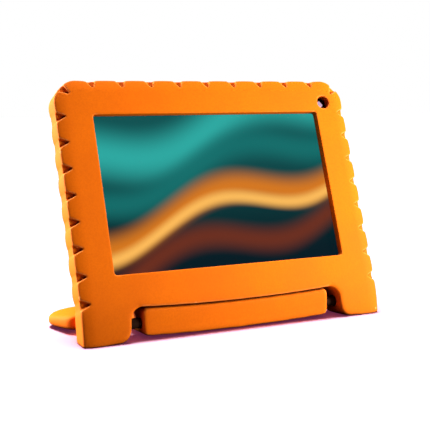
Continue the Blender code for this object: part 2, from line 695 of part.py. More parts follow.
def build_board_parts():
    wall = 0.0002
    shield_height = 0.0016
    for name, middle, side in (("processor_shield", (0.0540, 0.1010), 0.024),
                               ("radio_shield", (0.0540, 0.0640), 0.018)):
        can = board_part(name, middle, (side, side), shield_height, STEEL)
        front = BOARD_FRONT - PLAY - shield_height + wall
        inner = slab_block((middle[0] - side / 2 + wall, front, middle[1] - side / 2 + wall),
                           (middle[0] + side / 2 - wall, BOARD_FRONT, middle[1] + side / 2 - wall))
        cut(can, name, inner, slab_frame)
    board_part("processor_chip", (0.0500, 0.1010), (0.012, 0.012), 0.0010, CHIP)
    board_part("memory_chip", (0.0606, 0.1010), (0.007, 0.011), 0.0009, CHIP)
    board_part("battery_connector", (0.0355, 0.0900), (0.005, 0.008), 0.0014, WHITE_PLASTIC)
    board_part("microphone", (0.0585, 0.0400), (0.004, 0.003), 0.0010, STEEL)


def build_sockets():
    """Sockets at the board's right-hand edge, with their mouths in the cover's wall."""
    mouth = TABLET_SIDE - SHELL - GAP
    back_wall = 0.0015
    for name, middle_v, width, length, height, hole, material in (
            ("headphone_jack", JACK_V, 0.0060, 0.0120, 0.0024, (0.0034, 0.0018), BLACK_PLASTIC),
            ("usb_socket", USB_V, 0.0085, 0.0070, 0.0024, (0.0074, 0.0018), STEEL),
            ("card_slot", CARD_V, 0.0125, 0.0100, 0.0016, (0.0112, 0.0008), STEEL)):
        front = PORT_D - height / 2
        body = slab_block((mouth - length, front, middle_v - width / 2),
                          (mouth, front + height, middle_v + width / 2))
        socket = slab_piece(name, body, material)
        bay = slab_block((mouth - length + back_wall, PORT_D - hole[1] / 2, middle_v - hole[0] / 2),
                         (mouth + OVERSHOOT, PORT_D + hole[1] / 2, middle_v + hole[0] / 2))
        cut(socket, name, bay, slab_frame)


def build_battery():
    corner = 0.001
    low, high = CELL_LOW, CELL_HIGH
    outline = rounded_outline([(low[0], low[1], corner), (high[0], low[1], corner),
                               (high[0], high[1], corner), (low[0], high[1], corner)], 2)
    front = PLATE_BACK + GAP
    slab_piece("battery_cell", slab_prism(outline, front, front + CELL_THICKNESS), CELL_WRAP)
    lead_front = PLATE_BACK + 0.0016
    lead_end = 0.0327                            # just short of the connector
    lead = slab_block((high[0] + GAP, lead_front, 0.0870), (lead_end, lead_front + 0.0008, 0.0930))
    slab_piece("battery_lead", lead, FLEX)


def build_flex(name, middle_x, width, start_d):
    """A flat printed cable from behind the screen's lower edge back to the board's front."""
    thick = 0.0002
    start_v = PANEL_LOW - GAP
    low_v = PANEL_LOW - 0.0018
    end_d = BOARD_FRONT - 0.0006
    end_v = low_v + 0.009
    run = [(start_d, start_v), (start_d, low_v), (end_d, low_v), (end_d, end_v)]
    back = [(end_d - thick, end_v), (end_d - thick, low_v + thick),
            (start_d + thick, low_v + thick), (start_d + thick, start_v)]
    rings = [[(x, d, v) for d, v in run + back]
             for x in (middle_x - width / 2, middle_x + width / 2)]
    slab_piece(name, loft(rings), FLEX)


def build_flexes():
    display, touch = FLEX_PLACES
    build_flex("display_flex", *display, PANEL_FRONT + 0.0004)
    build_flex("touch_flex", *touch, GLASS_BACK + 0.0002)


def build_cameras():
    x, v = FRONT_CAMERA
    half = FRONT_CAMERA_HALF
    housing_front = GLASS_BACK + 0.0016
    body = slab_block((x - half, housing_front, v - half), (x + half, BOARD_FRONT - 0.001, v + half))
    housing = slab_piece("front_camera", body, CHIP)
    barrel = slab_disc((x, v), 0.0026, GLASS_BACK + GAP, housing_front + GAP)
    combine(housing, add_cutter("front_barrel", barrel, slab_frame), "UNION")
    well = slab_disc((x, v), 0.0019, GLASS_BACK - OVERSHOOT, GLASS_BACK + 0.0012)
    cut(housing, "front_well", well, slab_frame)
    lens = slab_disc((x, v), 0.0017, GLASS_BACK + GAP, GLASS_BACK + 0.0010)
    slab_piece("front_camera_lens", lens, CLEAR_GLASS)

    x, v = REAR_CAMERA
    half = REAR_CAMERA_HALF
    body = slab_block((x - half, PLATE_BACK + GAP, v - half), (x + half, COVER_INSIDE - GAP, v + half))
    slab_piece("rear_camera", body, CHIP)
    window = slab_disc((x, v), REAR_WINDOW_RADIUS - GAP, COVER_INSIDE, TABLET_BACK - 0.0002)
    slab_piece("rear_camera_window", window, CLEAR_GLASS)


def build_speaker():
    x, v = SPEAKER
    half_x, half_v = SPEAKER_HALF
    back = COVER_INSIDE - GASKET_THICKNESS - GAP
    body = slab_block((x - half_x, PLATE_BACK + GAP, v - half_v), (x + half_x, back, v + half_v))
    slab_piece("speaker", body, CHIP)
    ring = slab_block((x - half_x, back + PLAY, v - half_v),
                      (x + half_x, COVER_INSIDE - PLAY, v + half_v))
    gasket = slab_piece("speaker_gasket", ring, SEAL_FOAM)
    inner_x, inner_v = half_x - GASKET_WIDTH, half_v - GASKET_WIDTH
    inner = slab_block((x - inner_x, back - OVERSHOOT, v - inner_v),
                       (x + inner_x, COVER_INSIDE + OVERSHOOT, v + inner_v))
    cut(gasket, "gasket_middle", inner, slab_frame)


def build_antenna():
    foil = slab_block((-0.040, COVER_INSIDE - 0.0006, 0.1330), (0.002, COVER_INSIDE - GAP, 0.1410))
    slab_piece("wifi_antenna", foil, FLEX)
    lead_radius = 0.0004
    lead = cross_rod(lead_radius, -0.019, 0.0425, (BOARD_FRONT - 3 * lead_radius, 0.1300), 10)
    slab_piece("antenna_lead", lead, BLACK_PLASTIC)


# ---------------------------------------------------------------- tablet: buttons
def build_button(name, middle_v, length):
    """A cap that stands a little proud of the cover, with its origin on its own axis."""
    half_d = BUTTON_HEIGHT / 2
    cap = slab_block((CAP_INSIDE, PORT_D - half_d, middle_v - length / 2),
                     (TABLET_SIDE + BUTTON_PROUD, PORT_D + half_d, middle_v + length / 2))
    corners = [edge for edge in cap.edges
               if all(vert.co.x > TABLET_SIDE for vert in edge.verts)]
    bmesh.ops.bevel(cap, geom=corners, offset=GAP, segments=2, affect="EDGES", profile=0.5)
    slab_piece(name, cap, BLACK_PLASTIC, (CAP_INSIDE, PORT_D, middle_v))


def build_buttons():
    build_button("power_button", POWER_V, POWER_LENGTH)
    build_button("volume_rocker", VOLUME_V, VOLUME_LENGTH)
    face = CAP_INSIDE - SWITCH_REACH
    reach = VOLUME_LENGTH / 2 - 0.003
    body_front, body_back = face - 0.0004, face - 0.0014
    half_d, half_v = 0.0009, 0.0018
    places = (("power_switch", POWER_V), ("volume_up_switch", VOLUME_V + reach),
              ("volume_down_switch", VOLUME_V - reach))
    for name, middle_v in places:
        body = slab_block((body_back, PORT_D - half_d, middle_v - half_v),
                          (body_front, PORT_D + half_d, middle_v + half_v))
        switch = slab_piece(name, body, CHIP)
        plunger = cross_rod(0.0006, body_back + 0.0004, face, (PORT_D, middle_v), 12)
        combine(switch, add_cutter(name + "_plunger", plunger, slab_frame), "UNION")
    strip = slab_block((body_back - 0.0006, PORT_D - 0.0012, VOLUME_V - reach - 0.003),
                       (body_back - PLAY, PORT_D + 0.0012, POWER_V + 0.003))
    slab_piece("button_board", strip, CIRCUIT)


build_foam_case()
build_stand_loop()
build_hinge("left", -1)
build_hinge("right", 1)
build_rear_cover()
build_screen()
build_mid_frame()
build_main_board()
build_board_parts()
build_sockets()
build_battery()
build_flexes()
build_cameras()
build_speaker()
build_antenna()
build_buttons()
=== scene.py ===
import json
import math

import bmesh
import bpy
from mathutils import Matrix, Vector


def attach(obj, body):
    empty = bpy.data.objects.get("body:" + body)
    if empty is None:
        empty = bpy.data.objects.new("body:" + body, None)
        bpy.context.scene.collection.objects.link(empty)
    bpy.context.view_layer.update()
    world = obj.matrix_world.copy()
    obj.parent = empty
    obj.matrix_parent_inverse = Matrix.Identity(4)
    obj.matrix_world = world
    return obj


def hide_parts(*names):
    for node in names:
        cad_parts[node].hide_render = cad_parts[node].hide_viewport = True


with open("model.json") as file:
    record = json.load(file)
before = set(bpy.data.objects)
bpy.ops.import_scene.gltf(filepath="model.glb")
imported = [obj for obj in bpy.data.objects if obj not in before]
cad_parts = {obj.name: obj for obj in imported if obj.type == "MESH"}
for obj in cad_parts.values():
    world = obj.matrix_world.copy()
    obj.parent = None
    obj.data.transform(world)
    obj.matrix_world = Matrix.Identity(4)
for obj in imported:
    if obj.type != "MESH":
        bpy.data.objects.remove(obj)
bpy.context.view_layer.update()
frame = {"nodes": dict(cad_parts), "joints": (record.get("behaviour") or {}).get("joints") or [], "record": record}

# ---------------------------------------------------------------- places, as in the frame
# Metres. On the slab, x runs across it, d goes in from its front face and v up that face.
LEAN = math.radians(20.7)
SLAB_ORIGIN = Vector((0, -0.0375, 0.002))        # front face, bottom middle
TO_WORLD = Matrix.Translation(SLAB_ORIGIN) @ Matrix.Rotation(-LEAN, 4, "X")
HINGE = Vector(next(j for j in frame["joints"] if j["name"] == "stand_hinge")["pos_m"])

HALF_WIDTH = 0.100
HEIGHT = 0.1580
DEPTH = 0.020
CORNER_RADIUS = 0.015
SIDE_FLAT = 0.0125                  # the straight part of the rim, from the front face
REAR_ROUND = DEPTH - SIDE_FLAT
RIM_START = -0.004                  # the rim runs on below the floor and is cut off there
GAP = 0.0003                        # between pieces that rest on each other

LOBE_DEPTH, TOP_LOBE_SHARE = 0.0008, 0.55
SIDE_NOTCHES, SIDE_PITCH, SIDE_LOWEST, SIDE_NOTCH_DEPTH = 8, 0.01594, 0.0236, 0.0060
TOP_NOTCHES, TOP_PITCH, TOP_NOTCH_DEPTH = 9, 0.019, 0.0052
CORNER_NOTCH_DEPTH = 0.0070
NOTCH_HALF_WIDTH, NOTCH_SLANT = 0.0029, 0.0008

BEND_START, BEND_RADIUS = 0.024, 0.090      # the feet curl back below this height

WINDOW_HALF, WINDOW_LOW, WINDOW_HIGH = 0.0775, 0.0388, 0.1360
WINDOW_MID_V = (WINDOW_LOW + WINDOW_HIGH) / 2
WINDOW_CORNER = 0.0015
FRONT_CAMERA, FRONT_CAMERA_HOLE = (0.0844, 0.1425), 0.004
REAR_CAMERA, REAR_CAMERA_HOLE = (0.058, 0.1350), 0.0065
SPEAKER = (-0.066, 0.1270)
SPEAKER_SLOT_PITCH, SPEAKER_SLOT_WIDTH, SPEAKER_SLOT_LENGTH = 0.0045, 0.0028, 0.016

TABLET_HALF, TABLET_LOW, TABLET_HIGH = 0.092, 0.0315, 0.1475
TABLET_FRONT, TABLET_BACK, TABLET_CORNER = 0.0052, 0.0162, 0.0063
SIDE_HOLE_D, SIDE_HOLE_HALF_DEPTH = 0.0116, 0.0036
SIDE_HOLES = (                      # (middle height, length) up the right-hand side
    (0.1190, 0.015),                # power button
    (0.0940, 0.027),                # volume rocker
    (0.0745, 0.0095),               # headphone jack
    (0.0615, 0.0135),               # usb socket
)

HINGE_V, HINGE_D = 0.011, 0.0095
BAR_HALF = 0.063
RECESS_HALF, RECESS_TOP = 0.0712, 0.0193     # between the feet
BOW = 0.0018                        # the bar and the edge over it sag this much in the middle
SOCKET_RADIUS = 0.0114
FOOT_CORNER, FOOT_LOW = 0.009, -0.001
BUSH_HOLE = 0.0035
PIN_END = 0.0795

VOXEL = 0.0005
MOST_TRIANGLES = 185000             # a piece is thinned out above this


# ---------------------------------------------------------------- shader helpers
class Value:
    """A shader socket with arithmetic, so that a pattern reads like a formula."""

    tree = None

    def __init__(self, socket):
        self.socket = socket

    @staticmethod
    def math(kind, *inputs):
        node = Value.tree.nodes.new("ShaderNodeMath")
        node.operation = kind
        for slot, item in zip(node.inputs, inputs):
            if isinstance(item, Value):
                Value.tree.links.new(item.socket, slot)
            else:
                slot.default_value = item
        return Value(node.outputs[0])

    def __add__(self, other):
        return Value.math("ADD", self, other)

    def __radd__(self, other):
        return Value.math("ADD", other, self)

    def __sub__(self, other):
        return Value.math("SUBTRACT", self, other)

    def __mul__(self, other):
        return Value.math("MULTIPLY", self, other)

    def __rmul__(self, other):
        return Value.math("MULTIPLY", other, self)

    def __truediv__(self, other):
        return Value.math("DIVIDE", self, other)


def absolute(value):
    return Value.math("ABSOLUTE", value)


def largest(a, b):
    return Value.math("MAXIMUM", a, b)


def distance(x, y, centre=(0, 0), stretch=(1, 1)):
    across = (x - centre[0]) / stretch[0]
    along = (y - centre[1]) / stretch[1]
    return Value.math("SQRT", across * across + along * along)


def ramp(value, low, high):
    """0 below low, 1 above high, smooth between; low may be above high."""
    node = Value.tree.nodes.new("ShaderNodeMapRange")
    node.interpolation_type = "SMOOTHSTEP"
    Value.tree.links.new(value.socket, node.inputs["Value"])
    node.inputs["From Min"].default_value = low
    node.inputs["From Max"].default_value = high
    return Value(node.outputs["Result"])


def noise(coordinates, scale, detail=2.0, roughness=0.5, seed=0.0):
    node = Value.tree.nodes.new("ShaderNodeTexNoise")
    node.noise_dimensions = "4D"
    node.inputs["W"].default_value = seed
    node.inputs["Scale"].default_value = scale
    node.inputs["Detail"].default_value = detail
    node.inputs["Roughness"].default_value = roughness
    Value.tree.links.new(coordinates, node.inputs["Vector"])
    return Value(node.outputs["Fac"])


def colour_mix(below, above, factor):
    """Blend two colours, each a socket or a tuple, by a value."""
    node = Value.tree.nodes.new("ShaderNodeMix")
    node.data_type = "RGBA"
    node.blend_type = "MIX"
    for name, item in (("A_Color", below), ("B_Color", above)):
        slot = next(s for s in node.inputs if s.identifier == name)
        if isinstance(item, tuple):
            slot.default_value = (*item, 1.0)
        else:
            Value.tree.links.new(item, slot)
    amount = next(s for s in node.inputs if s.identifier == "Factor_Float")
    if isinstance(factor, Value):
        Value.tree.links.new(factor.socket, amount)
    else:
        amount.default_value = factor
    return next(s for s in node.outputs if s.identifier == "Result_Color")


def new_material(name):
    """An empty Principled material; returns the material and its shader."""
    made = bpy.data.materials.new(name)
    made.use_nodes = True
    Value.tree = made.node_tree
    return made, made.node_tree.nodes["Principled BSDF"]


def object_coordinates():
    return Value.tree.nodes.new("ShaderNodeTexCoord").outputs["Object"]


def openness(reach):
    """1 on an open surface, towards 0 deep in a hollow; reach is how far other surfaces count. The materials use
    it to paint shade into gaps and hollows.
    """
    node = Value.tree.nodes.new("ShaderNodeAmbientOcclusion")
    node.samples = 8
    node.inputs["Distance"].default_value = reach
    return Value(node.outputs["AO"])


def set_bump(shader, height, strength, depth):
    node = Value.tree.nodes.new("ShaderNodeBump")
    node.inputs["Strength"].default_value = strength
    node.inputs["Distance"].default_value = depth
    Value.tree.links.new(height.socket, node.inputs["Height"])
    Value.tree.links.new(node.outputs["Normal"], shader.inputs["Normal"])


def link_value(value, slot):
    Value.tree.links.new(value.socket, slot)


# ---------------------------------------------------------------- materials
def foam_material():
    """Closed-cell foam: a matt, pebbled, faintly mottled skin, paler on edges from a painted highlight and darker
    in gaps from painted shade.
    """
    made, shader = new_material("orange_foam")
    where = object_coordinates()
    grain = noise(where, 2600, 2, 0.6)
    pebble = noise(where, 900, 3, 0.55, 4.0)
    cloud = noise(where, 28, 4, 0.6, 2.0)
    geometry = Value.tree.nodes.new("ShaderNodeNewGeometry")
    # painted highlight: edges that bulge outwards are coloured paler, as if catching light
    edge = ramp(Value(geometry.outputs["Pointiness"]), 0.505, 0.56)
    # painted shade: creases that fold inwards are coloured darker
    hollow = ramp(Value(geometry.outputs["Pointiness"]), 0.495, 0.44)
    base = colour_mix((0.70, 0.127, 0.0003), (0.76, 0.145, 0.0004), ramp(cloud, 0.3, 0.7))
    base = colour_mix(base, (0.62, 0.098, 0.0005), ramp(pebble, 0.62, 0.35) * 0.35)
    # painted highlight on the edges
    base = colour_mix(base, (0.98, 0.42, 0.11), edge * 0.45)
    # painted shade in creases, then in narrow gaps and deep hollows by ambient occlusion
    base = colour_mix(base, (0.40, 0.050, 0.0004), hollow * 0.7)
    base = colour_mix(base, (0.16, 0.020, 0.0003), ramp(openness(0.002), 0.80, 0.35) * 0.8)
    base = colour_mix(base, (0.030, 0.0045, 0.0004), ramp(openness(0.010), 0.74, 0.18) * 0.84)
    Value.tree.links.new(base, shader.inputs["Base Color"])
    link_value(0.62 + 0.16 * cloud, shader.inputs["Roughness"])
    shader.inputs["IOR"].default_value = 1.45
    shader.inputs["Specular IOR Level"].default_value = 0.06
    set_bump(shader, grain * 0.5 + pebble, 0.35, 0.00012)
    return made


def plain_material(name, colour, roughness, metallic=0.0, grain_scale=900, grain_depth=0.00003,
                   variation=0.12, coat=0.0, gloss=0.5):
    """A solid colour with slight mottling and a fine surface grain."""
    made, shader = new_material(name)
    where = object_coordinates()
    cloud = noise(where, 60, 4, 0.6)
    grain = noise(where, grain_scale, 2, 0.5, 3.0)
    dark = tuple(c * (1 - variation) for c in colour)
    light = tuple(min(1.0, c * (1 + variation) + 0.002) for c in colour)
    Value.tree.links.new(colour_mix(dark, light, cloud), shader.inputs["Base Color"])
    link_value(roughness - 0.06 + 0.12 * cloud, shader.inputs["Roughness"])
    shader.inputs["Metallic"].default_value = metallic
    shader.inputs["Coat Weight"].default_value = coat
    shader.inputs["Specular IOR Level"].default_value = gloss
    set_bump(shader, grain, 0.4, grain_depth)
    return made


PICTURE_HALF_WIDTH, PICTURE_HALF_HEIGHT = 0.080, 0.0503


def slab_coordinates(where):
    """x and v in millimetres from the middle of the screen window."""
    split = Value.tree.nodes.new("ShaderNodeSeparateXYZ")
    Value.tree.links.new(where, split.inputs[0])
    x, y, z = (Value(split.outputs[k]) for k in range(3))
    along = (y - SLAB_ORIGIN.y) * math.sin(LEAN) + (z - SLAB_ORIGIN.z) * math.cos(LEAN)
    return x * 1000, (along - WINDOW_MID_V) * 1000


def screen_material():
    """A plain abstract wallpaper: soft ribbons of teal and amber on a dark ground."""
    made, shader = new_material("screen")
    x, y = slab_coordinates(object_coordinates())
    slope, swell, radians_per_mm = 0.22, 9, 0.045
    picture = colour_mix((0.002, 0.012, 0.018), (0.006, 0.085, 0.085), ramp(y, -48, 48))
    for height, width, bend, colour in ((40, 24, 0.0, (0.030, 0.420, 0.380)),
                                        (16, 16, 0.8, (0.008, 0.160, 0.150)),
                                        (-8, 15, 1.6, (0.720, 0.200, 0.012)),
                                        (-14, 7, 1.8, (1.000, 0.520, 0.110)),
                                        (-34, 13, 2.6, (0.160, 0.030, 0.014))):
        middle = height + slope * x + swell * Value.math("SINE", radians_per_mm * x + bend)
        picture = colour_mix(picture, colour, 0.9 * ramp(absolute(y - middle), width, 0))
    shader.inputs["Base Color"].default_value = (0.0, 0.0, 0.0, 1.0)
    shader.inputs["Roughness"].default_value = 0.6
    shader.inputs["Specular IOR Level"].default_value = 0.0
    Value.tree.links.new(picture, shader.inputs["Emission Color"])
    shader.inputs["Emission Strength"].default_value = 1.15
    return made


def glass_material():
    """Cover glass: clear over the picture, printed black round it, with a painted pale reflection glowing over the
    camera.
    """
    made, shader = new_material("front_glass")
    where = object_coordinates()
    x, y = slab_coordinates(where)
    border = largest(absolute(x) - 1000 * PICTURE_HALF_WIDTH,
                     absolute(y) - 1000 * PICTURE_HALF_HEIGHT)
    camera_x, camera_y = 1000 * FRONT_CAMERA[0], 1000 * (FRONT_CAMERA[1] - WINDOW_MID_V)
    lens = distance(x, y, (camera_x, camera_y))
    printed = ramp(border, -1.2, -0.9) * ramp(lens, 2.2, 2.5)
    smear = noise(where, 35, 3, 0.6)
    shader.inputs["Base Color"].default_value = (0.003, 0.003, 0.004, 1.0)
    link_value(0.05 + 0.05 * smear, shader.inputs["Roughness"])
    # painted reflection: a pale violet glint glows on the glass over the camera lens
    below = ramp((y - camera_y) + 1.2 * (x - camera_x), 3.2, 2.6)
    glint = below * ramp(distance(x, y, (camera_x + 0.7, camera_y + 0.3), (1.0, 1.25)), 2.0, 1.6)
    Value.tree.links.new(colour_mix((0.0, 0.0, 0.0), (0.62, 0.42, 0.58), glint),
                         shader.inputs["Emission Color"])
    shader.inputs["Emission Strength"].default_value = 1.0
    link_value(largest(0.06 + 0.94 * printed, glint), shader.inputs["Alpha"])
    return made


def lens_material():
    """Coated glass of a camera, with a faint violet sheen."""
    made, shader = new_material("camera_glass")
    tint = noise(object_coordinates(), 300, 2, 0.5)
    Value.tree.links.new(colour_mix((0.012, 0.008, 0.020), (0.05, 0.025, 0.06), tint),
                         shader.inputs["Base Color"])
    shader.inputs["Roughness"].default_value = 0.08
    shader.inputs["Coat Weight"].default_value = 1.0
    shader.inputs["Coat Roughness"].default_value = 0.04
    return made


def circuit_material():
    """Green solder mask with copper runs showing through it."""
    made, shader = new_material("circuit_board")
    where = object_coordinates()
    runs = Value.tree.nodes.new("ShaderNodeTexBrick")
    runs.inputs["Scale"].default_value = 260
    runs.inputs["Mortar Size"].default_value = 0.02
    Value.tree.links.new(where, runs.inputs["Vector"])
    lines = Value(runs.outputs["Fac"])
    mottle = noise(where, 90, 3, 0.6)
    base = colour_mix((0.006, 0.085, 0.030), (0.010, 0.130, 0.050), mottle)
    Value.tree.links.new(colour_mix(base, (0.05, 0.22, 0.09), lines), shader.inputs["Base Color"])
    link_value(0.38 + 0.15 * mottle, shader.inputs["Roughness"])
    set_bump(shader, lines, 0.3, 0.00003)
    return made


def steel_material():
    """Brushed steel: fine lines across, a little uneven, with painted shade making it dull and dark in narrow
    gaps.
    """
    made, shader = new_material("steel")
    where = object_coordinates()
    stretch = Value.tree.nodes.new("ShaderNodeMapping")
    stretch.inputs["Scale"].default_value = (0.04, 1.0, 1.0)
    Value.tree.links.new(where, stretch.inputs["Vector"])
    lines = noise(stretch.outputs[0], 3000, 2, 0.5)
    cloud = noise(where, 50, 3, 0.6, 1.0)
    base = colour_mix((0.46, 0.47, 0.49), (0.62, 0.63, 0.65), cloud)
    # painted shade: the steel's colour goes nearly black in narrow gaps, by ambient occlusion
    base = colour_mix(base, (0.020, 0.012, 0.008), ramp(openness(0.008), 0.75, 0.35) * 0.9)
    Value.tree.links.new(base, shader.inputs["Base Color"])
    link_value(0.24 + 0.14 * lines, shader.inputs["Roughness"])
    shader.inputs["Metallic"].default_value = 1.0
    set_bump(shader, lines, 0.3, 0.00002)
    return made


def slot_materials():
    """One material for each of the record's slots."""
    return {
        "orange_foam": foam_material(),
        "steel": steel_material(),
        "front_glass": glass_material(),
        "screen": screen_material(),
        "camera_glass": lens_material(),
        "circuit_board": circuit_material(),
        "white_plastic": plain_material("white_plastic", (0.80, 0.80, 0.77), 0.40, variation=0.05),
        "black_plastic": plain_material("black_plastic", (0.020, 0.0065, 0.0015), 0.80,
                                        grain_scale=2600, grain_depth=0.00006, gloss=0.05),
        "antenna_cable": plain_material("antenna_cable", (0.03, 0.03, 0.03), 0.45),
        "chip": plain_material("chip", (0.014, 0.014, 0.016), 0.50, grain_scale=4000),
        "cell_wrap": plain_material("cell_wrap", (0.48, 0.49, 0.51), 0.34, 0.6, 120, 0.0002),
        "flex": plain_material("flex", (0.52, 0.20, 0.03), 0.42, coat=0.3),
        "seal_foam": plain_material("seal_foam", (0.03, 0.03, 0.03), 0.90, grain_scale=1800,
                                    grain_depth=0.0002),
    }


def finish_cad_nodes(materials):
    for part in frame["record"]["subparts"]:
        node = frame["nodes"][part["node"]]
        for slot in node.material_slots:
            slot.material = materials[part["material_slot"]]


# ---------------------------------------------------------------- outlines
def clamp(value):
    return max(0.0, min(1.0, value))


def arc_points(centre, radius, start, end, steps):
    made = []
    for step in range(steps + 1):
        angle = start + (end - start) * step / steps
        made.append((centre[0] + radius * math.cos(angle), centre[1] + radius * math.sin(angle)))
    return made


def rounded_outline(corners, steps=8):
    """Round each corner (x, y, radius) of a closed outline with an arc."""
    made = []
    for index, (x, y, radius) in enumerate(corners):
        here = Vector((x, y))
        if radius == 0:
            made.append((x, y))
            continue
        back = (Vector(corners[index - 1][:2]) - here).normalized()
        ahead = (Vector(corners[(index + 1) % len(corners)][:2]) - here).normalized()
        half = back.angle(ahead) / 2
        centre = here + (back + ahead).normalized() * radius / math.sin(half)
        first = here + back * radius / math.tan(half) - centre
        last = here + ahead * radius / math.tan(half) - centre
        start = math.atan2(first.y, first.x)
        made += arc_points(centre, radius, start, start - first.angle_signed(last), steps)
    return made


def rounded_rectangle(width, height, radius, middle=(0, 0), steps=8):
    signs = ((-1, -1), (1, -1), (1, 1), (-1, 1))
    corners = [(middle[0] + a * width / 2, middle[1] + b * height / 2, radius) for a, b in signs]
    return rounded_outline(corners, steps)


# ---------------------------------------------------------------- meshes
def loft(rings):
    """A closed solid through rings of equally many points, with flat ends."""
    made = bmesh.new()
    layers = [[made.verts.new(point) for point in ring] for ring in rings]
    for low, high in zip(layers, layers[1:]):
        for index in range(len(low)):
            nearby = (index + 1) % len(low)
            made.faces.new((low[index], low[nearby], high[nearby], high[index]))
    made.faces.new(layers[0])
    made.faces.new(layers[-1])
    bmesh.ops.recalc_face_normals(made, faces=made.faces)
    return made


def slab_prism(outline, front, back):
    return loft([[(x, d, v) for x, v in outline] for d in (front, back)])


def slab_disc(middle, radius, front, back, flare=0.0, segments=64):
    """A round plug through the slab, optionally wider at its front."""
    rings = []
    for depth, size in ((front, radius + flare), (back, radius)):
        ring = arc_points(middle, size, 0, 2 * math.pi, segments)[:-1]
        rings.append([(x, depth, v) for x, v in ring])
    return loft(rings)


def cross_rod(radius, start, end, centre=(0, 0), segments=48):
    ring = arc_points(centre, radius, 0, 2 * math.pi, segments)[:-1]
    return loft([[(x, y, z) for y, z in ring] for x in (start, end)])


def join(meshes):
    made = bmesh.new()
    for part in meshes:
        held = bpy.data.meshes.new("joined")
        part.to_mesh(held)
        made.from_mesh(held)
        bpy.data.meshes.remove(held)
    return made


def mesh_object(name, built):
    mesh = bpy.data.meshes.new(name)
    built.to_mesh(mesh)
    built.free()
    made = bpy.data.objects.new(name, mesh)
    bpy.context.scene.collection.objects.link(made)
    return made


def apply_modifiers(item):
    graph = bpy.context.evaluated_depsgraph_get()
    mesh = bpy.data.meshes.new_from_object(item.evaluated_get(graph))
    item.modifiers.clear()
    old, item.data = item.data, mesh
    bpy.data.meshes.remove(old)


def carve(body, cutters, operation="DIFFERENCE"):
    """Cut each closed mesh out of the body, or with INTERSECT keep only what lies in it."""
    made = [mesh_object("cutter", cutter) for cutter in cutters]
    for item in made:
        step = body.modifiers.new("step", "BOOLEAN")
        step.operation = operation
        step.object = item
        step.solver = "MANIFOLD"
    apply_modifiers(body)
    for item in made:
        bpy.data.objects.remove(item, do_unlink=True)


def remesh(item):
    step = item.modifiers.new("remesh", "REMESH")
    step.mode = "VOXEL"
    step.voxel_size = VOXEL


def soften(item, passes, soft_share=None, soft_passes=0):
    """Remesh a solid evenly and round its edges, more where soft_share(point) is near 1."""
    remesh(item)
    apply_modifiers(item)
    if soft_share:
        group = item.vertex_groups.new(name="soft")
        for vertex in item.data.vertices:
            share = soft_share(vertex.co)
            if share > 0:
                group.add((vertex.index,), share, "REPLACE")
        step = item.modifiers.new("round", "SMOOTH")
        step.factor = 0.5
        step.iterations = soft_passes
        step.vertex_group = "soft"
    step = item.modifiers.new("ease", "SMOOTH")
    step.factor = 0.5
    step.iterations = passes
    triangles = 2 * len(item.data.polygons)
    if triangles > MOST_TRIANGLES:
        step = item.modifiers.new("thin", "DECIMATE")
        step.ratio = MOST_TRIANGLES / triangles
    apply_modifiers(item)
    item.vertex_groups.clear()
    item.data.materials.clear()
    item.data.shade_smooth()


# ---------------------------------------------------------------- foam case
def rim_path():
    """The case's outline as stretches (length, place at distance t)."""
    middle = (HALF_WIDTH - CORNER_RADIUS, HEIGHT - CORNER_RADIUS)
    side = middle[1] - RIM_START
    corner = math.pi / 2 * CORNER_RADIUS

    def turn(sign, t):
        angle = t / CORNER_RADIUS if sign > 0 else math.pi / 2 - t / CORNER_RADIUS
        normal = (sign * math.cos(angle), math.sin(angle))
        x = sign * middle[0] + CORNER_RADIUS * normal[0]
        return (x, middle[1] + CORNER_RADIUS * normal[1]), normal

    return (
        (side, lambda t: ((HALF_WIDTH, RIM_START + t), (1, 0))),
        (corner, lambda t: turn(1, t)),
        (2 * middle[0], lambda t: ((middle[0] - t, HEIGHT), (0, 1))),
        (corner, lambda t: turn(-1, t)),
        (side, lambda t: ((-HALF_WIDTH, middle[1] - t), (-1, 0))),
    )


RIM_PATH = rim_path()
RIM_LENGTH = sum(length for length, place in RIM_PATH)


def rim_place(along):
    for length, place in RIM_PATH:
        if along <= length:
            return place(along)
        along -= length
    return RIM_PATH[-1][1](RIM_PATH[-1][0])


def notch_stations():
    """Each notch as (distance along the rim, depth)."""
    side, corner = RIM_PATH[0][0], RIM_PATH[1][0]
    lowest = SIDE_LOWEST - RIM_START
    right = [(lowest + SIDE_PITCH * k, SIDE_NOTCH_DEPTH) for k in range(SIDE_NOTCHES)]
    right.append((side + corner / 2, CORNER_NOTCH_DEPTH))
    left = [(RIM_LENGTH - along, depth) for along, depth in reversed(right)]
    first = RIM_LENGTH / 2 - TOP_PITCH * (TOP_NOTCHES - 1) / 2
    top = [(first + TOP_PITCH * k, TOP_NOTCH_DEPTH) for k in range(TOP_NOTCHES)]
    return right + top + left


NOTCHES = notch_stations()


def lobe_dip(part):
    """How far the outline dips between two notches: flat across each notch, then a round lobe."""
    return 1 - math.sin(math.pi * clamp((part - 0.15) / 0.70)) ** 0.7


def rim_samples(per_lobe=20):
    """(distance, dip) along the rim: the dip is 1 at a notch and 0 at a lobe's crown."""
    stations = [along for along, depth in NOTCHES]
    start = stations[0] - SIDE_PITCH / 2
    made = [(start * k / 6, 0.0) for k in range(6)]
    made += [(start + SIDE_PITCH / 2 * k / 10, lobe_dip(0.5 + k / 20)) for k in range(10)]
    mirror = [(RIM_LENGTH - along, dip) for along, dip in reversed(made)]
    for here, there in zip(stations, stations[1:]):
        on_top = abs((here + there) - RIM_LENGTH) < TOP_PITCH * TOP_NOTCHES
        for step in range(per_lobe):
            part = step / per_lobe
            share = TOP_LOBE_SHARE if on_top else 1
            made.append((here + (there - here) * part, share * lobe_dip(part)))
    made.append((stations[-1], 1.0))
    return made + mirror


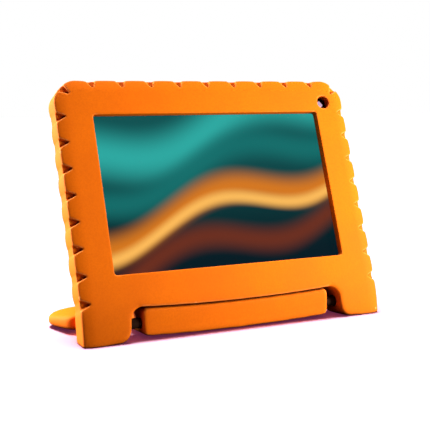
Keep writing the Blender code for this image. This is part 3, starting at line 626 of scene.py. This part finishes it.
RIM_SAMPLES = rim_samples()


def rim_ring(depth, inset, scallop):
    ring = []
    for along, dip in RIM_SAMPLES:
        (x, v), normal = rim_place(along)
        inward = inset + LOBE_DEPTH * scallop * dip
        ring.append((x - normal[0] * inward, depth, v - normal[1] * inward))
    return ring


def rim_profile():
    """(depth, inset, scallop) from the flat front over the crowned edge to the flat back."""
    crown_width, crown_drop, edge = 0.0070, 0.0010, 0.0014
    made = []
    for step in range(8):
        part = step / 8
        made.append((crown_drop * part ** 2, edge + crown_width * (1 - part), 0.6 * part))
    start = math.atan(2 * crown_drop / crown_width)
    for step in range(7):
        angle = start + (math.pi / 2 - start) * step / 6
        depth = crown_drop + edge * (math.cos(start) - math.cos(angle))
        rise = (math.sin(angle) - math.sin(start)) / (1 - math.sin(start))
        made.append((depth, edge * (1 - rise), 0.6))
    for step in range(1, 4):
        made.append((depth + (SIDE_FLAT - depth) * step / 4, 0, 0.6 + 0.1 * step))
    for step in range(13):
        angle = math.pi / 2 * step / 12
        made.append((SIDE_FLAT + REAR_ROUND * math.sin(angle), REAR_ROUND * (1 - math.cos(angle)),
                     math.cos(angle)))
    return made


def bend_feet(built):
    """Curl the slab below BEND_START back about a cross axis behind it."""
    slice_height = 0.0015
    height = BEND_START
    while height > RIM_START:
        everything = built.verts[:] + built.edges[:] + built.faces[:]
        bmesh.ops.bisect_plane(built, geom=everything, plane_co=(0, 0, height), plane_no=(0, 0, 1))
        height -= slice_height
    for vert in built.verts:
        if vert.co.z < BEND_START:
            angle = (BEND_START - vert.co.z) / BEND_RADIUS
            reach = BEND_RADIUS - vert.co.y
            vert.co.z = BEND_START - reach * math.sin(angle)
            vert.co.y = BEND_RADIUS - reach * math.cos(angle)


def sag(x):
    return BOW * max(0.0, 1 - (x / BAR_HALF) ** 2)


def notch_scoops():
    """A pocket at each notch: a V that points at the screen, with a floor open to the rim."""
    made = []
    steps = 4
    for along, depth in NOTCHES:
        (x, v), (out_x, out_v) = rim_place(along)
        rings = []
        for inward, floor in ((depth, 0.0026), (depth * 0.5, 0.0029), (0, 0.0034), (-depth, 0.0042)):
            share = 1 - inward / depth
            half = 0.0003 + NOTCH_HALF_WIDTH * share
            middle = NOTCH_SLANT * (share - 1) * clamp(out_v)
            across = [middle + half * (2 * k / steps - 1) for k in range(steps + 1)]
            line = [(x - out_x * inward - out_v * a, v - out_v * inward + out_x * a) for a in across]
            rings.append([(px, floor, pv) for px, pv in line]
                         + [(px, -0.003, pv) for px, pv in reversed(line)])
        made.append(loft(rings))
    return join(made)


def recess_cutter():
    half = RECESS_HALF
    outside = half + 2 * FOOT_CORNER
    foot_edge = rounded_outline(
        ((outside, -0.030, 0), (outside, FOOT_LOW, 0), (half, FOOT_LOW, FOOT_CORNER),
         (half - 0.0015, RECESS_TOP, 0.007), (0, RECESS_TOP, 0)))[:-1]
    straight = foot_edge[-1][0]
    steps = 24
    for step in range(1, steps + 1):
        x = straight * (1 - step / steps)
        foot_edge.append((x, RECESS_TOP - sag(x)))
    outline = foot_edge + [(-x, v) for x, v in reversed(foot_edge[:-1])]
    return slab_prism(outline, -0.010, DEPTH + 0.015)


def socket_cutter():
    steps = 32
    reach = BAR_HALF + 0.0012
    back, lower = DEPTH + 0.015, HINGE_V - 0.030
    rings = []
    for step in range(steps + 1):
        x = -reach + 2 * reach * step / steps
        drop = sag(x)
        curve = arc_points((HINGE_D, HINGE_V - drop), SOCKET_RADIUS, math.pi, math.pi / 2, 20)
        outline = [(HINGE_D - SOCKET_RADIUS, lower)] + curve
        outline += [(DEPTH, HINGE_V + SOCKET_RADIUS), (back, HINGE_V + SOCKET_RADIUS), (back, lower)]
        rings.append([(x, d, v) for d, v in outline])
    return loft(rings)


def side_cutter(middle_v, length):
    half_depth = SIDE_HOLE_HALF_DEPTH
    outline = rounded_rectangle(2 * half_depth, length, half_depth - 0.0001, (SIDE_HOLE_D, middle_v))
    reach = (TABLET_HALF - 0.002, HALF_WIDTH + 0.005)
    return loft([[(x, d, v) for d, v in outline] for x in reach])


def speaker_slots():
    made = []
    for k in range(-2, 3):
        middle = (SPEAKER[0] + SPEAKER_SLOT_PITCH * k, SPEAKER[1])
        outline = rounded_rectangle(SPEAKER_SLOT_WIDTH, SPEAKER_SLOT_LENGTH, 0.0013, middle)
        made.append(slab_prism(outline, TABLET_BACK, DEPTH + 0.002))
    return join(made)


def foam_rounding(point):
    """How much more an edge is rounded: most beside the bar's ends, some at feet and openings."""
    low = clamp((0.026 - point.z) / 0.004)
    beside = clamp((abs(point.x) - BAR_HALF) / 0.002) * clamp((0.086 - abs(point.x)) / 0.006)
    to_window = max(abs(point.x) - WINDOW_HALF, abs(point.z - WINDOW_MID_V) - WINDOW_MID_V
                    + WINDOW_LOW)
    to_camera = math.dist((point.x, point.z), FRONT_CAMERA) - FRONT_CAMERA_HOLE
    lip = clamp((0.003 - min(abs(to_window), abs(to_camera))) / 0.001)
    lip *= clamp((0.0035 - point.y) / 0.001)
    return max(low * (0.14 + 0.86 * beside), 0.14 * lip)


def build_foam_case(material):
    body = loft([rim_ring(*step) for step in rim_profile()])
    bend_feet(body)
    case = mesh_object("foam_bumper", body)
    carve(case, [recess_cutter(), socket_cutter()])
    bores = [cross_rod(BUSH_HOLE, sign * BAR_HALF, sign * (PIN_END + GAP), (HINGE_D, HINGE_V))
             for sign in (-1, 1)]
    tablet = rounded_rectangle(2 * (TABLET_HALF + GAP), TABLET_HIGH - TABLET_LOW + 2 * GAP,
                               TABLET_CORNER, (0, (TABLET_LOW + TABLET_HIGH) / 2))
    window = rounded_rectangle(2 * WINDOW_HALF, WINDOW_HIGH - WINDOW_LOW, WINDOW_CORNER,
                               (0, WINDOW_MID_V))
    floor = slab_prism(((-0.2, -0.2), (0.2, -0.2), (0.2, 0), (-0.2, 0)), -0.2, 0.2)
    floor.transform(TO_WORLD.inverted())
    cutters = [
        slab_prism(tablet, TABLET_FRONT - GAP, TABLET_BACK + GAP),
        slab_prism(window, -0.002, TABLET_FRONT),
        slab_disc(FRONT_CAMERA, FRONT_CAMERA_HOLE, -0.0001, TABLET_FRONT, 0.0004),
        slab_disc(REAR_CAMERA, REAR_CAMERA_HOLE, TABLET_BACK, DEPTH + 0.002),
        speaker_slots(),
        notch_scoops(),
        *(side_cutter(*hole) for hole in SIDE_HOLES),
        floor,
    ]
    carve(case, cutters)
    soften(case, 2, foam_rounding, 100)
    carve(case, bores)
    case.data.materials.clear()
    case.data.shade_smooth()
    case.data.transform(TO_WORLD)
    case.data.materials.append(material)
    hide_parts("foam_case")
    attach(case, "case")


# ---------------------------------------------------------------- stand loop
# Metres from the hinge's axis: x across, y to the rear.
BAR_FRONT, BAR_CORNER = -0.0062, 0.0033
LOOP_HALF, LOOP_REAR, GRIP_WIDTH = 0.108, 0.0555, 0.0210
FINGER_FRONT, FINGER_HALF = 0.0125, 0.054
TAPER_START, TAPER_LENGTH, TAPER_DEPTH = 0.084, 0.022, 0.0036
BORE_START, BORE_END = 0.0467, 0.070         # for the bush in each end of the bar


def corner_drop(x):
    """How far the bar's upper and lower edges turn in near its ends."""
    past = max(0.0, abs(x) - (BAR_HALF - BAR_CORNER))
    return BAR_CORNER - math.sqrt(max(0.0, BAR_CORNER ** 2 - past ** 2))


def end_taper(x):
    """How far the ring's upper and lower faces close in towards its two ends."""
    return TAPER_DEPTH * clamp((abs(x) - TAPER_START) / TAPER_LENGTH) ** 2


def build_stand_loop(material):
    """The handle, in the hinge's frame: a flat-fronted bar that runs into a plump ring."""
    floor = -HINGE.z
    profile = [(BAR_FRONT, -0.0067), (BAR_FRONT + 0.0010, 0.0080)]
    profile += arc_points((0, 0), 0.0102, math.radians(118), math.radians(80), 8)
    roof = SOCKET_RADIUS - 0.0008
    for along in (0.0047, 0.0140):
        profile.append((along, (roof - along * math.sin(LEAN)) / math.cos(LEAN)))
    profile += [(0.0250, 0.0036), (LOOP_REAR, 0.0010), (LOOP_REAR, floor), (0.040, floor)]
    straight = BAR_HALF - BAR_CORNER
    half = [straight * k / 20 for k in range(21)]
    half += [straight + BAR_CORNER * math.sin(math.pi / 2 * k / 8) for k in range(1, 9)]
    half += [TAPER_START + 0.0048 * k for k in range(7)]
    rings = []
    for x in [-place for place in reversed(half)] + half[1:]:
        ring = []
        for y, z in profile:
            share = clamp(1 - (y - BAR_FRONT) / 0.025)
            closed = end_taper(x) if z > 0.5 * floor else -0.5 * end_taper(x)
            ring.append((x, y, z - closed - share * (sag(x) + math.copysign(corner_drop(x), z))))
        rings.append(ring)
    loop = mesh_object("foam_handle", loft(rings))
    right = [(BAR_HALF, BAR_FRONT - 0.0001, 0.003), (BAR_HALF, 0.0205, 0.008), (0.0985, 0.0225, 0.006),
             (LOOP_HALF, LOOP_REAR, 0.010)]
    plan = rounded_outline(right + [(-x, y, r) for x, y, r in reversed(right)])
    tall = loft([[(x, y, z) for x, y in plan] for z in (-0.030, 0.030)])
    carve(loop, [tall], "INTERSECT")
    gap_rear = LOOP_REAR - GRIP_WIDTH
    opening = rounded_rectangle(2 * FINGER_HALF, gap_rear - FINGER_FRONT, 0.008,
                                (0, (gap_rear + FINGER_FRONT) / 2))
    carve(loop, [loft([[(x, y, z) for x, y in opening] for z in (-0.030, 0.030)])])
    soften(loop, 1, lambda point: 0.2 + 0.8 * clamp((point.y - 0.012) / 0.010), 240)
    carve(loop, [cross_rod(BUSH_HOLE, sign * BORE_START, sign * BORE_END) for sign in (-1, 1)])
    loop.data.materials.clear()
    loop.data.shade_smooth()
    loop.data.transform(Matrix.Translation(HINGE))
    loop.data.materials.append(material)
    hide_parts("stand_loop")
    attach(loop, "stand")


# ---------------------------------------------------------------- camera, lights, floor
CAMERA_AIM, CAMERA_DISTANCE = Vector((-0.0108, -0.0176, 0.0684)), 0.565


def build_camera():
    data = bpy.data.cameras.new("camera")
    made = bpy.data.objects.new("camera", data)
    bpy.context.scene.collection.objects.link(made)
    data.sensor_width, data.lens = 36, 78.16
    azimuth, height = math.radians(-25.93), math.radians(7.71)
    back = Vector((math.sin(azimuth) * math.cos(height), -math.cos(azimuth) * math.cos(height),
                   math.sin(height)))
    made.location = CAMERA_AIM + back * CAMERA_DISTANCE
    made.rotation_euler = (-back).to_track_quat("-Z", "Y").to_euler()
    bpy.context.scene.camera = made


def place_light(data, place, aim):
    made = bpy.data.objects.new(data.name, data)
    bpy.context.scene.collection.objects.link(made)
    made.location = place
    made.rotation_euler = (Vector(aim) - Vector(place)).to_track_quat("-Z", "Y").to_euler()
    return made


def build_stage():
    """A white paper floor under an overhead light, with a key and a rim light on the object."""
    scene = bpy.context.scene
    scene.view_settings.view_transform = "Standard"
    world = bpy.data.worlds.new("studio")
    world.use_nodes = True
    scene.world = world
    tree = world.node_tree
    Value.tree = tree
    seen = Value(tree.nodes.new("ShaderNodeLightPath").outputs["Is Camera Ray"])
    tree.links.new(colour_mix((0.075, 0.020, 0.060), (1.0, 1.0, 1.0), seen),
                   tree.nodes["Background"].inputs["Color"])

    sky = bpy.data.lights.new("overhead", "SUN")
    sky.energy, sky.angle = 5.2, math.radians(19)
    overhead = bpy.data.objects.new("overhead", sky)
    overhead.rotation_euler = (math.radians(-14), 0, 0)
    bpy.context.scene.collection.objects.link(overhead)
    key = bpy.data.lights.new("key", "SPOT")
    key.energy, key.shadow_soft_size = 104, 0.10
    key.spot_size, key.spot_blend = math.radians(40), 1.0
    key_lamp = place_light(key, (0.66, -0.50, 0.20), (0.20, 0, 0.08))
    rim = bpy.data.lights.new("rim", "AREA")
    rim.shape, rim.size, rim.size_y, rim.energy = "RECTANGLE", 0.4, 0.5, 28
    rim_lamp = place_light(rim, (-0.60, 0.50, 0.28), (-0.1, 0, 0.05))

    floor = mesh_object("floor", paper_floor())
    made, shader = new_material("floor_paper")
    seen = Value(Value.tree.nodes.new("ShaderNodeLightPath").outputs["Is Camera Ray"])
    Value.tree.links.new(colour_mix((0.20, 0.17, 0.18), (0.95, 0.68, 0.86), seen),
                         shader.inputs["Base Color"])
    Value.tree.links.new(colour_mix((0.0, 0.0, 0.0), (0.095, 0.016, 0.046), seen),
                         shader.inputs["Emission Color"])
    shader.inputs["Emission Strength"].default_value = 1.0
    shader.inputs["Specular IOR Level"].default_value = 0.0
    floor.data.materials.append(made)
    shaded = bpy.data.collections.new("lit_by_overhead_only")
    shaded.objects.link(floor)
    shaded.collection_objects[0].light_linking.link_state = "EXCLUDE"
    for lamp in (key_lamp, rim_lamp):
        lamp.light_linking.receiver_collection = shaded


def paper_floor():
    made = bmesh.new()
    corners = [made.verts.new((x, y, 0)) for x, y in ((-4, -4), (4, -4), (4, 4), (-4, 4))]
    made.faces.new(corners)
    return made


build_camera()
build_stage()
MATERIALS = slot_materials()
finish_cad_nodes(MATERIALS)
build_foam_case(MATERIALS["orange_foam"])
build_stand_loop(MATERIALS["orange_foam"])
